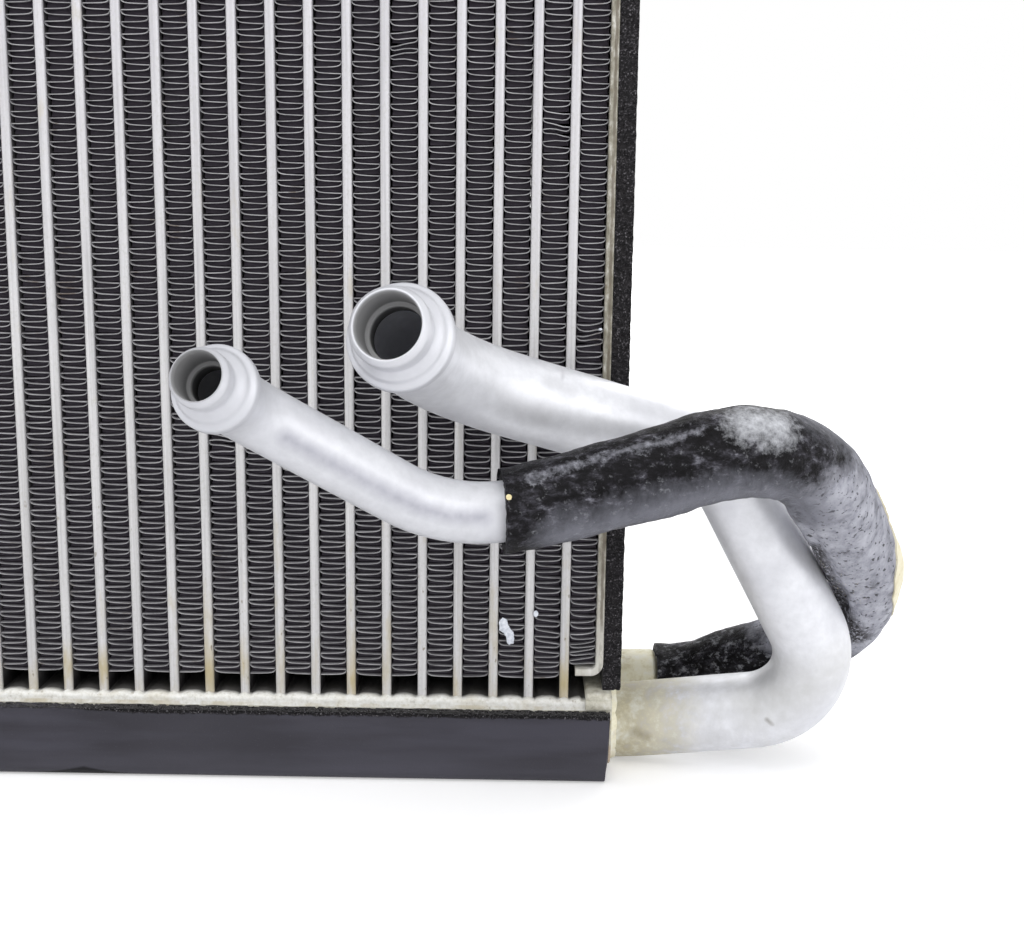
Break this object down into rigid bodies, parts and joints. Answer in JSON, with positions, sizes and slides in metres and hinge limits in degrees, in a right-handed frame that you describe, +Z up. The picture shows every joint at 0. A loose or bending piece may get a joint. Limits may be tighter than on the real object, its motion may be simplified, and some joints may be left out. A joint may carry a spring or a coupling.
{
  "type": "evaporator core",
  "caption": "Flat-tube evaporator core with folded fins, end tanks wrapped in foam, foam-edged side plates and two bent refrigerant pipes that turn to the front.",
  "frame": {"origin": "middle of the flat underside that the core stands on, at mount base_face", "axes": "+Z up along the tubes, +X across the tubes towards the pipes' side, -Y towards the front face where the pipe ends point"},
  "size_m": [0.3005, 0.1456, 0.23],
  "materials": {
    "tube_aluminium": "satin, faintly stained at the lower ends",
    "fin_aluminium": "satin",
    "tank_aluminium": "matt with flux stains",
    "pipe_aluminium": "satin bare metal",
    "foam": "matt closed-cell foam",
    "sleeve_foam": "dusty foam tube",
    "tape": "matt"
  },
  "bodies": {
    "root": {"baffle_bottom": "tank_aluminium", "baffle_top": "tank_aluminium", "cap_bottom_left": "tank_aluminium", "cap_bottom_right": "tank_aluminium", "cap_top_left": "tank_aluminium", "cap_top_right": "tank_aluminium", "fin_01": "fin_aluminium", "fin_02": "fin_aluminium", "fin_03": "fin_aluminium", "fin_04": "fin_aluminium", "fin_05": "fin_aluminium", "fin_06": "fin_aluminium", "fin_07": "fin_aluminium", "fin_08": "fin_aluminium", "fin_09": "fin_aluminium", "fin_10": "fin_aluminium", "fin_11": "fin_aluminium", "fin_12": "fin_aluminium", "fin_13": "fin_aluminium", "fin_14": "fin_aluminium", "fin_15": "fin_aluminium", "fin_16": "fin_aluminium", "fin_17": "fin_aluminium", "fin_18": "fin_aluminium", "fin_19": "fin_aluminium", "fin_20": "fin_aluminium", "fin_21": "fin_aluminium", "fin_22": "fin_aluminium", "fin_23": "fin_aluminium", "fin_24": "fin_aluminium", "fin_25": "fin_aluminium", "fin_26": "fin_aluminium", "fin_27": "fin_aluminium", "flat_tubes": "tube_aluminium", "foam_bottom": "foam", "foam_strip_left": "foam", "foam_strip_right": "foam", "foam_top": "foam", "header_bottom": "tank_aluminium", "header_top": "tank_aluminium", "liquid_pipe": "pipe_aluminium", "liquid_socket": "pipe_aluminium", "pipe_sleeve": "sleeve_foam", "side_plate_left": "tank_aluminium", "side_plate_right": "tank_aluminium", "sleeve_tape": "tape", "suction_pipe": "pipe_aluminium", "tank_bottom": "tank_aluminium", "tank_top": "tank_aluminium"}
  },
  "joints": []
}
